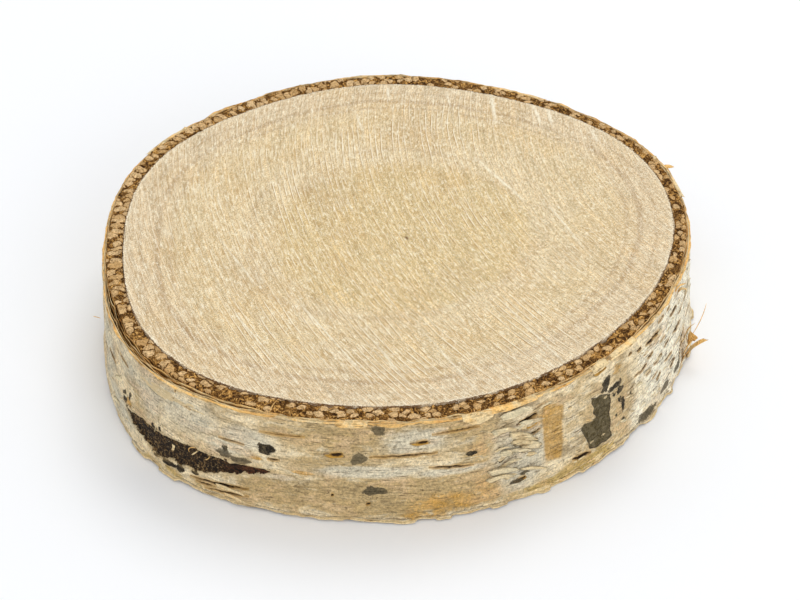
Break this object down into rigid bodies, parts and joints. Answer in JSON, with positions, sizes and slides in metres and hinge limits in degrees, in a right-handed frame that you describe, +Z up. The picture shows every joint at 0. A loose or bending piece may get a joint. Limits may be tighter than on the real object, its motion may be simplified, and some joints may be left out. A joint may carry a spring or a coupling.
{
  "type": "birch wood slice",
  "caption": "Round slice sawn across a birch branch: a flat disc of pale wood inside its brown inner bark and papery white outer bark, lying on one sawn face.",
  "frame": {"origin": "middle of the lower sawn face, which the slice rests on", "axes": "+Z up through the thickness, -Y towards the side that carries the long dark scar"},
  "size_m": [0.1137, 0.1129, 0.022],
  "materials": {
    "wood": "sawn, unfinished pale birch",
    "inner_bark": "rough sawn brown bark with pinkish lumps",
    "outer_bark": "papery, cream to grey, with dark slits and scars"
  },
  "bodies": {
    "root": {"wood": "wood", "inner_bark": "inner_bark", "outer_bark": "outer_bark"}
  },
  "joints": []
}
